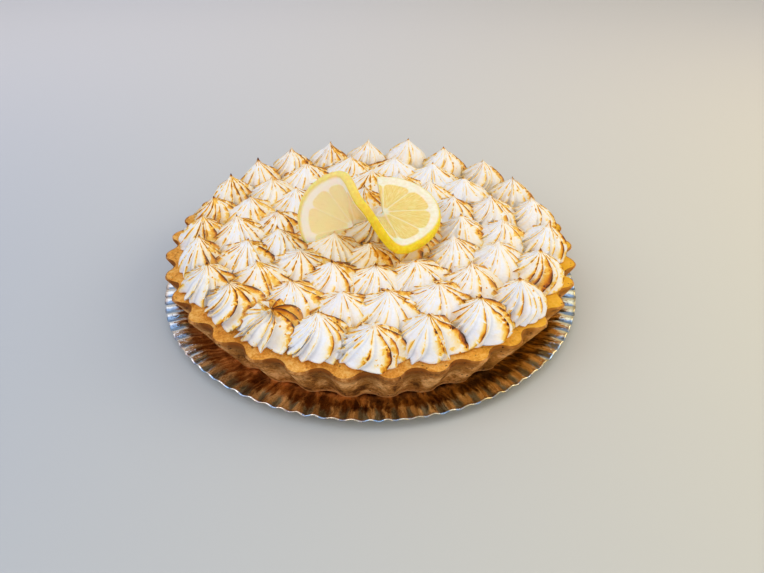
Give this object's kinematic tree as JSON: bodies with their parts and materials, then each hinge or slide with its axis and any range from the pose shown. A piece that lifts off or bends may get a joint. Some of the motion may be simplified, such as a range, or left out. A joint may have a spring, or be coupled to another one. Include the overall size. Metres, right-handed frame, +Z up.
{
  "type": "lemon meringue pie",
  "caption": "Round lemon meringue tart with a fluted shortcrust shell, torched piped meringue kisses and a twisted lemon slice, on a fluted silver foil tray.",
  "frame": {"origin": "centre of the foil tray's underside, on the surface that it stands on", "axes": "+Z up; -Y towards the side from which the lemon slice shows its faces; +X to the right of that view"},
  "size_m": [0.219, 0.219, 0.0725],
  "materials": {
    "tray_foil": "bright silver foil laminated on card, radially fluted, reflective",
    "baked_pastry": "golden baked shortcrust, matte and sandy, browner in the flutes and at the edge",
    "lemon_cream": "smooth pale yellow lemon cream, slightly glossy",
    "torched_meringue": "satin white meringue, toasted golden to dark brown along its ridges and tips",
    "lemon_flesh_and_peel": "moist lemon slice with yellow peel, white pith and translucent pale flesh"
  },
  "bodies": {
    "root": {"foil_tray": "tray_foil", "crust": "baked_pastry", "lemon_filling": "lemon_cream", "meringue": "torched_meringue", "lemon_slice": "lemon_flesh_and_peel"}
  },
  "joints": []
}
